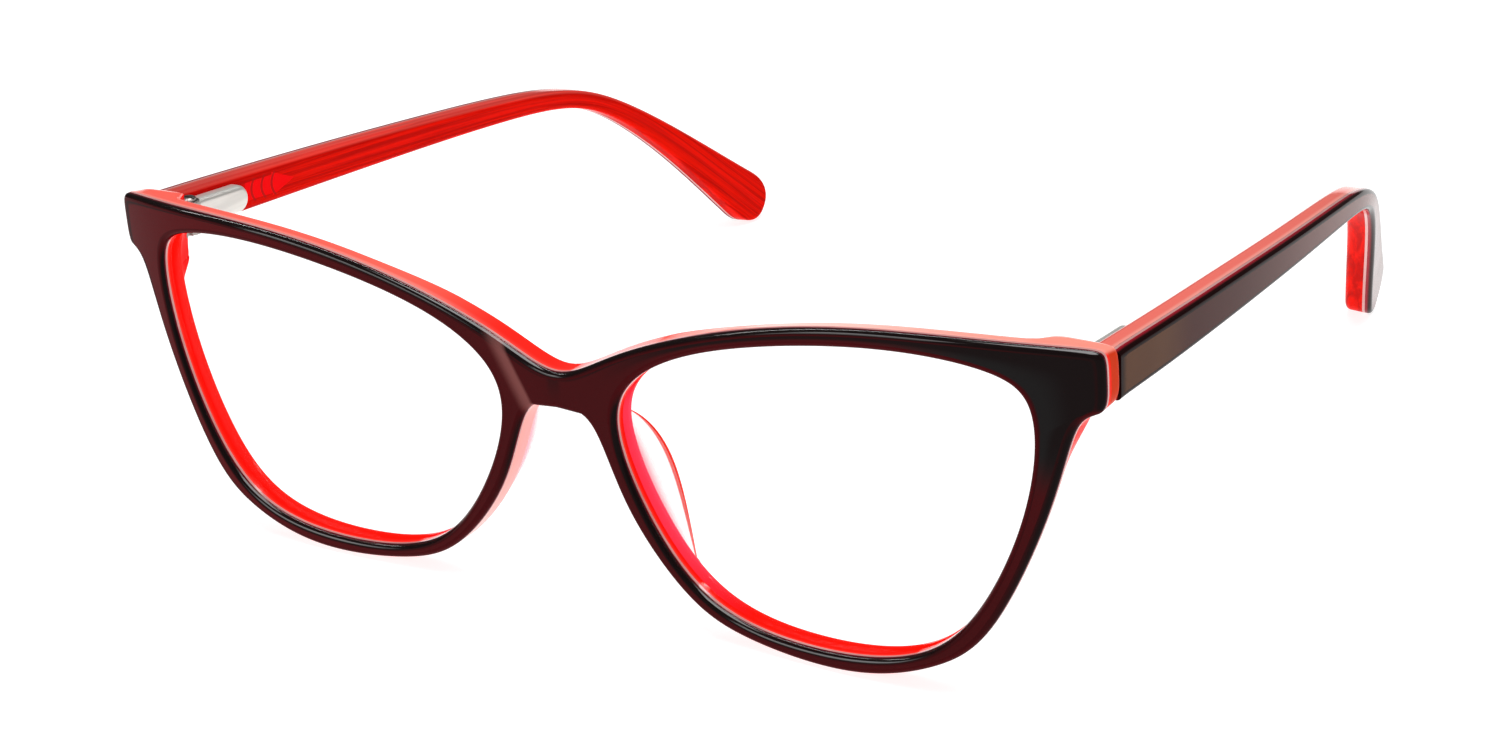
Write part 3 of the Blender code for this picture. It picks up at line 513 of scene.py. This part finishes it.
def back_swell(x, z, across):
    share = ramp(np.abs(x), END_STEP) * ramp(z, END_FOOT) * ramp(across, (0.0, END_LIP))
    return share * (END_BACK - THICK - bow(x))


def on_floor(points):
    points = np.array(points, float)
    points[:, 2] = np.maximum(points[:, 2], 0.0)
    return points


def place_front(points, depth):
    x, z, across = points.T
    share = np.clip((depth - SWELL_FROM) / (THICK - SWELL_FROM), 0.0, 1.0)
    y = bow(x) + depth + share * back_swell(x, z, across)
    behind = max(depth - RED_FROM, 0.0) * across
    lean = DRAFT * behind * ramp(np.abs(x), DRAFT_X) * ramp(z, DRAFT_Z)
    fall = TOP_DRAFT * behind * ramp(z, TOP_Z)
    return on_floor(np.c_[x - np.sign(x) * lean, y, z - fall + RISE])


def polar(curve):
    step = curve - np.array(EYE)
    angle = np.unwrap(np.arctan2(step[:, 1], step[:, 0]))
    radius = np.linalg.norm(step, axis=1)
    return (angle[::-1], radius[::-1]) if angle[-1] < angle[0] else (angle, radius)


def spokes(count, bridge_count):
    """Points of the opening and of the outline on the same spokes from the eye, for the +X half."""
    ctrl = OUTLINE + [(-x, z) for x, z in OUTLINE[-2:0:-1]]
    a_out, r_out = polar(b_spline(ctrl, np.linspace(0, len(OUTLINE) - 1, 4001)))
    a_in, r_in = polar(b_spline(OPENING, np.linspace(0, len(OPENING), 4000, endpoint=False)))
    turn = 2 * math.pi
    a_in, r_in = np.r_[a_in - turn, a_in, a_in + turn], np.tile(r_in, 3)
    low, high = a_out[0], a_out[-1]
    dense = np.linspace(low, high, 6000)

    def spot(angle, angles, radii):
        radius = np.interp(angle, angles, radii)
        return np.array(EYE) + np.c_[np.cos(angle), np.sin(angle)] * radius[:, None]

    density = 0
    for angles, radii, share in ((a_out, r_out, 1.0), (a_in, r_in, 0.6)):
        path = spot(dense, angles, radii)
        step = np.gradient(path, axis=0)
        length = np.linalg.norm(step, axis=1)
        bend = np.abs(np.gradient(np.unwrap(np.arctan2(step[:, 1], step[:, 0])))) / length
        bend = np.convolve(bend, np.ones(81) / 81, "same")
        density = density + share * length * np.sqrt(bend + 0.006)
    total = np.r_[0, np.cumsum(density[:-1])]
    angles = np.interp(np.linspace(0, total[-1], count), total, dense)
    across = np.linspace(high, low + turn, bridge_count + 2)[1:-1]
    outer = spot(angles, a_out, r_out)
    outer[[0, -1], 0] = 0.0
    middle = np.c_[np.zeros(bridge_count), EYE[1] - EYE[0] / np.cos(across) * np.sin(across)]
    return spot(np.r_[angles, across], a_in, r_in), np.vstack([outer, middle]), count


def front_sheet():
    """(shape, quads, loops) of the whole front: both halves, each a ring round its opening."""
    inner, outer, solid = spokes(SPOKES, BRIDGE)
    n = len(inner)
    share = np.array(RINGS)[:, None, None]
    hole_normal = -normals(inner)
    run = outer[:solid]
    edge_normal = np.zeros_like(outer)
    edge_normal[:solid] = normals(np.vstack([run, (run * (-1, 1))[-2:0:-1]]))[:solid]

    def shape(insets):
        near = inner + hole_normal * insets[-1]
        far = outer + edge_normal * insets[0]
        ends = np.interp(np.arange(n), [solid - 1, n], [far[solid - 1, 1], far[0, 1]])
        base = np.interp(np.arange(n), [solid - 1, n], [outer[solid - 1, 1], outer[0, 1]])
        far[solid:, 1] += (ends - base)[solid:]
        half = (near[None] * (1 - share) + far[None] * share).reshape(-1, 2)
        half = np.c_[half, np.repeat(RINGS, n)]
        return np.vstack([half, half * (-1, 1, 1)])[used]

    size = len(RINGS) * n
    quads = [q[::-1] for q in grid_faces(len(RINGS), n, True)]
    quads += [tuple(i + size for i in q[::-1]) for q in quads]
    first = (len(RINGS) - 1) * n
    shared = {size + first + k: first + k for k in [0, *range(solid - 1, n)]}
    quads = [tuple(shared.get(i, i) for i in q) for q in quads]
    edge = [first + k for k in range(solid)]
    loops = (edge + [size + i for i in edge[-2:0:-1]], list(range(n))[::-1], [size + k for k in range(n)])
    used = sorted({i for q in quads for i in q})
    index = {old: new for new, old in enumerate(used)}
    quads = [tuple(index[i] for i in q) for q in quads]
    return shape, quads, [[index[i] for i in loop] for loop in loops]


SHEET = front_sheet()


def front_layer(name, outer_profile, hole_profile, look, node_name):
    shape, quads, loops = SHEET
    rims = [(loops[0], outer_profile), (loops[1], hole_profile), (loops[2], hole_profile)]
    points, faces, marks = laminate(shape, quads, rims, place_front)
    to_piece(name, points, faces, look, "front", [node_name], marks=marks)


edge_out = [*arc(0.0, 0.72, 9), (DARK, 0.0)]
edge_mid = [(DARK + GAP, 0.0), (DARK + GAP + PALE, 0.0)]
edge_red = [(RED_FROM, 0.0), (2.2, 0.0), (3.0, 0.0), (THICK - 0.65, 0.0), *arc(THICK, 0.65, 8, -1)[1:]]
groove = [
    (RED_FROM, 0.0), (GROOVE_AT - HALF_GROOVE - 0.06, 0.0), (GROOVE_AT - HALF_GROOVE + 0.06, 0.12),
    (GROOVE_AT, GROOVE_DEEP), (GROOVE_AT + HALF_GROOVE - 0.06, 0.12), (GROOVE_AT + HALF_GROOVE + 0.06, 0.0),
    (THICK - 0.4, 0.0), *arc(THICK, 0.4, 6, -1)[1:],
]
front_layer("front_dark_sheet", edge_out, edge_out, "front_dark", "front_outer_layer")
front_layer("front_pale_sheet", edge_mid, edge_mid, "pale", "front_middle_layer")
front_layer("front_red_sheet", edge_red, groove, "front_red", "front_back_layer")


# ================================================================ lenses
def lens(side):
    inner = spokes(SPOKES, BRIDGE)[0]
    n = len(inner)
    eye = np.array(EYE)
    shares = np.r_[0.0, 0.2, 0.4, 0.6, 0.8, 0.93, 1.0]
    draw_in = -normals(inner)

    def shape(insets):
        edge = inner - draw_in * insets[0]
        return np.vstack([eye] + [eye + (edge - eye) * share for share in shares[1:]])

    quads = [(0, 1 + k, 1 + (k + 1) % n)[::-1] for k in range(n)]
    quads += [tuple(i + 1 for i in q) for q in grid_faces(len(shares) - 1, n, True)]
    loop = [1 + (len(shares) - 2) * n + k for k in range(n)]
    reach = np.linalg.norm(inner - eye, axis=1)
    turn = np.arctan2(inner[:, 1] - EYE[1], inner[:, 0] - EYE[0])
    order = np.argsort(turn)

    def place(points, depth):
        step = points - eye
        limit = np.interp(np.arctan2(step[:, 1], step[:, 0]), turn[order], reach[order], period=2 * math.pi)
        share = np.clip(np.linalg.norm(step, axis=1) / limit, 0, 1)
        y = bow(points[:, 0]) + depth - LENS_BULGE * (1 - share**2)
        return np.c_[points[:, 0], y, points[:, 1] + RISE]

    front, back, bevel = LENS_FRONT, LENS_FRONT + LENS_THICK, HALF_GROOVE - 0.1
    profile = [
        (front, 0.12), (GROOVE_AT - bevel, 0.12), (GROOVE_AT, 0.12 - GROOVE_DEEP),
        (GROOVE_AT + bevel, 0.12), (back, 0.12),
    ]
    points, faces, marks = laminate(shape, quads, [(loop, profile)], place)
    tag = "LR"[side < 0]
    obj = to_piece(f"lens_clear_{tag}", points, faces, "lens", "front", [f"lens_{tag}"], side, marks)
    obj.visible_shadow = False


# ================================================================ nose pads
PAD_Z = (25.2, 6.8)
PAD_REACH, PAD_OUT, PAD_EDGE, PAD_WIDE, PAD_TUCK = 4.8, 1.2, 0.5, 0.6, 0.2


def rim_middle(z):
    inner, outer, _ = spokes(400, 3)
    nasal = (inner[:, 0] < EYE[0]) & (inner[:, 1] < -1) & (inner[:, 1] > -30)
    half = np.array(sorted(((inner[nasal] + outer[nasal]) / 2).tolist(), key=lambda p: p[1]))
    return np.interp(z - RISE, half[:, 1], half[:, 0])


def nose_pad(side):
    rings, edge = [], []
    for t in np.linspace(0.004, 0.996, 40):
        swell = math.sin(math.pi * min(max(t, 0.02), 0.97) ** 0.8) ** 0.8
        z = PAD_Z[0] + (PAD_Z[1] - PAD_Z[0]) * t
        x = float(rim_middle(z))
        y = float(bow(np.array(x))) + THICK + 0.05
        reach, out, wide = PAD_REACH * swell, PAD_OUT * swell, PAD_EDGE + PAD_WIDE * swell
        ring = []
        for a in np.linspace(0, 2 * math.pi, 40, endpoint=False):
            c, s = math.cos(a), math.sin(a)
            along = (1 - c) / 2
            thick = s * wide * (1.0 - 0.45 * along) * (1.0 if s > 0 else 0.8)
            lift = (0.25 - thick * 0.35) * smooth(along * 6)
            ring.append((x - PAD_TUCK + out * along**1.2 + thick * 0.9, y + reach * along + lift, z))
            edge.append(along)
        rings.append(ring)
    points, faces = tube(rings)
    tag = "LR"[side < 0]
    name, marks = f"nose_pad_clear_{tag}", {"rim": edge}
    to_piece(name, points, faces, f"pad_{tag}", "front", [f"nose_pad_{tag}"], side, marks)


# ================================================================ temples
def temple_path():
    dense = b_spline(TEMPLE, np.linspace(1, len(TEMPLE) - 2, 4000), False)
    y, z, h, x = dense.T
    index = np.arange(len(y))
    length = np.cumsum(np.sqrt(np.gradient(x) ** 2 + np.gradient(y) ** 2 + np.gradient(z) ** 2))
    length = length - np.interp(np.interp(BUTT, y, index), index, length)
    return length, np.c_[x, y, z], h


PATH_S, PATH_P, PATH_H = temple_path()


def unit(v):
    return v / np.linalg.norm(v, axis=1)[:, None]


def path_frame(s):
    s = np.atleast_1d(np.asarray(s, float))

    def at(t):
        return np.c_[tuple(np.interp(t, PATH_S, PATH_P[:, k]) for k in range(3))]

    along = unit(at(s + 0.4) - at(s - 0.4))
    blend = smooth(s / SQUARE)[:, None]
    upright = unit(np.c_[np.zeros(len(s)), -along[:, 2], along[:, 1]])
    up = unit(upright * blend + np.array([0, 0, 1.0]) * (1 - blend))
    out = unit(unit(np.cross(along, up)) * blend + np.array([1.0, 0, 0]) * (1 - blend))
    return at(s), up, out


def place_temple(points, depth):
    centre, up, out = path_frame(points[:, 0])
    spot = centre + up * points[:, 1:] + out * (T_THICK / 2 - depth)
    spot[points[:, 0] < 1e-6, 1] = BUTT
    return on_floor(spot)


def temple_sheet():
    straight = np.linspace(0, 84, 90)
    ear = np.linspace(84, TIP_AT - TIP_ROUND, 70)[1:]
    rows = np.array([-1, -0.9, -0.75, -0.5, -0.25, 0.0, 0.25, 0.5, 0.75, 0.9, 1.0])
    quarter = np.linspace(0, math.pi / 2, 26)[1:-1]

    def shape(insets):
        inset = insets[0]
        reach = TIP_ROUND - inset
        stations = np.r_[straight, ear, TIP_AT - TIP_ROUND + reach * np.r_[np.sin(quarter), 0.9995]]
        half = np.interp(stations, PATH_S, PATH_H) / 2 - inset
        past = np.clip((stations - (TIP_AT - TIP_ROUND)) / reach, 0, 1)
        half = half * (1 - past**TIP_POWER) ** (1 / TIP_POWER)
        return np.stack([np.repeat(stations, len(rows)), (half[:, None] * rows).ravel()], axis=1)

    n, m = len(straight) + len(ear) + len(quarter) + 1, len(rows)
    bottom = [i * m for i in range(n)]
    tip = [(n - 1) * m + j for j in range(1, m)]
    top = [i * m + m - 1 for i in range(n - 2, -1, -1)]
    return shape, grid_faces(n, m, False), bottom + tip + top + [j for j in range(m - 2, 0, -1)]


T_SHEET = temple_sheet()
T_EDGES = {
    "dark": [*arc(0.0, 0.6, 8), (T_DARK, 0.0)],
    "pale": [(T_DARK + GAP, 0.0), (T_DARK + GAP + T_PALE, 0.0)],
    "red": [(T_RED, 0.0), (2.4, 0.0), (T_THICK - 0.9, 0.0), *arc(T_THICK, 0.9, 9, -1)[1:]],
}


def temple(side):
    tag = "LR"[side < 0]
    shape, quads, loop = T_SHEET
    for part, node_name in (("dark", "outer"), ("pale", "middle"), ("red", "inner")):
        points, faces, marks = laminate(shape, quads, [(loop, T_EDGES[part])], place_temple)
        look = {"dark": "temple_dark", "pale": "pale", "red": f"temple_red_{tag}"}[part]
        to_piece(f"temple_{part}_sheet_{tag}", points, faces, look, f"temple_{tag}",
                 [f"temple_{node_name}_layer_{tag}"], side, marks)


# ================================================================ spring boxes
def along_fall(s, x, up):
    c, d = math.cos(FALL), math.sin(FALL)
    return (x, AXIS[1] + s * c + up * d, AXIS_Z - s * d + up * c)


def spring_box(side):
    """Long box with a half-round rear end, its inner face rounded off."""
    s0, s1, half = BOX[0] - AXIS[1], BOX[1] - AXIS[1], BOX_HALF
    walls = s1 - half - 0.5
    section = [(BOX_X[1], 0.0), (BOX_X[0] + BOX_SOFT, 0.0)]
    for a in np.linspace(0, math.pi / 2, 10)[1:]:
        section.append((BOX_X[0] + BOX_SOFT * (1 - math.sin(a)), BOX_SOFT * (1 - math.cos(a))))
    rings = []
    for x, inset in section:
        turn = np.linspace(-math.pi / 2, math.pi / 2, 33)
        ring = [(s1 - half + (half - inset) * math.cos(a), (half - inset) * math.sin(a)) for a in turn]
        start = s0 + 0.3 * inset
        ring += [(s, half - inset) for s in np.linspace(walls, start, 12)]
        ring += [(s, inset - half) for s in np.linspace(start, walls, 12)]
        rings.append([along_fall(s, x, up) for s, up in ring])
    points, faces = tube(rings)
    tag = "LR"[side < 0]
    name = f"spring_box_cover_{tag}"
    to_piece(name, points, faces, "ivory", f"temple_{tag}", [f"spring_housing_{tag}"], side)


for side in (1, -1):
    lens(side)
    nose_pad(side)
    temple(side)
    spring_box(side)

for name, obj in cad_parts.items():
    if obj.hide_render:
        continue
    look = LOOK["wire"] if "core_wire" in name else LOOK["silver"]
    obj.data.materials.clear()
    obj.data.materials.append(look)


# ================================================================ studio
SENSOR, IMAGE_WIDTH, SCALE = 36.0, 1500, 8.991  # mm, and image points per mm at the target
FLOOR = 30.0


def camera():
    """Long lens, from the wearer's left front and above, turned a little about its axis."""
    az, el, roll = math.radians(32.877), math.radians(22.736), math.radians(-3.721)
    distance, target = 300.19, Vector((27.5, -MIDDLE_Y, 34.6))
    back = Vector((math.sin(az) * math.cos(el), -math.cos(az) * math.cos(el), math.sin(el)))
    right = (-back).cross(Vector((0, 0, 1))).normalized()
    up = right.cross(-back)
    x = math.cos(roll) * right + math.sin(roll) * up
    y = -math.sin(roll) * right + math.cos(roll) * up
    data = bpy.data.cameras.new("camera")
    data.sensor_width, data.lens = SENSOR, SCALE * distance / IMAGE_WIDTH * SENSOR
    data.clip_start, data.clip_end = 0.01, 100.0
    obj = bpy.data.objects.new("camera", data)
    bpy.context.scene.collection.objects.link(obj)
    spin = Matrix((x, y, back)).transposed().to_4x4()
    obj.matrix_world = Matrix.Translation((target + back * distance) * 0.001) @ spin
    bpy.context.scene.camera = obj


def area_light(name, where, aim, size, power, colour=(1, 1, 1)):
    data = bpy.data.lights.new(name, "AREA")
    data.shape, data.size, data.size_y = "RECTANGLE", size[0], size[1]
    data.energy, data.color = power, colour
    obj = bpy.data.objects.new(name, data)
    obj.location = where
    obj.rotation_euler = (Vector(aim) - Vector(where)).to_track_quat("-Z", "Y").to_euler()
    bpy.context.scene.collection.objects.link(obj)


def studio():
    world = bpy.data.worlds.new("studio")
    bpy.context.scene.world = world
    world.use_nodes = True
    tree = world.node_tree
    where = node(tree, "ShaderNodeTexCoord").outputs["Generated"]
    axes = node(tree, "ShaderNodeSeparateXYZ", {0: where})
    y, z = axes.outputs[1], axes.outputs[2]
    behind = spread(tree, calc(tree, "ADD", y, calc(tree, "MULTIPLY", axes.outputs[0], 0.3)), -0.3, 0.5)
    low = spread(tree, z, 0.35, 0.75, 1.0, 0.0)
    share = calc(tree, "ADD", calc(tree, "MULTIPLY", calc(tree, "MULTIPLY", behind, low), 1.1), 0.35)
    tree.links.new(share, tree.nodes["Background"].inputs["Strength"])
    mesh = bpy.data.meshes.new("floor")
    corners = [(-FLOOR, -FLOOR, 0), (FLOOR, -FLOOR, 0), (FLOOR, FLOOR, 0), (-FLOOR, FLOOR, 0)]
    mesh.from_pydata(corners, [], [(0, 1, 2, 3)])
    made, tree, shader, _ = new_material("floor_paper")
    grain = place_noise(tree, 400.0, detail=2.0)
    tone = mix(tree, grain, (0.44, 0.44, 0.44, 1), (0.46, 0.46, 0.46, 1))
    tree.links.new(tone, shader.inputs["Base Color"])
    shader.inputs["Roughness"].default_value = 0.9
    shader.inputs["Specular IOR Level"].default_value = 0.0
    shader.inputs["Emission Color"].default_value = (1, 1, 1, 1)
    shader.inputs["Emission Strength"].default_value = 0.85
    mesh.materials.append(made)
    floor = bpy.data.objects.new("floor", mesh)
    floor.location.z = -0.0004
    bpy.context.scene.collection.objects.link(floor)
    area_light("top_soft", (0.2, -0.1, 1.1), (0, 0, 0), (0.8, 0.8), 9.0)
    area_light("back_strip", (-0.3, 0.32, 0.8), (0, -0.05, 0.03), (2.0, 0.02), 3.0)
    area_light("front_soft", (-0.5, -0.9, 0.45), (0, 0, 0.02), (0.5, 0.5), 3.0)
    bpy.context.scene.view_settings.view_transform = "Standard"


camera()
studio()
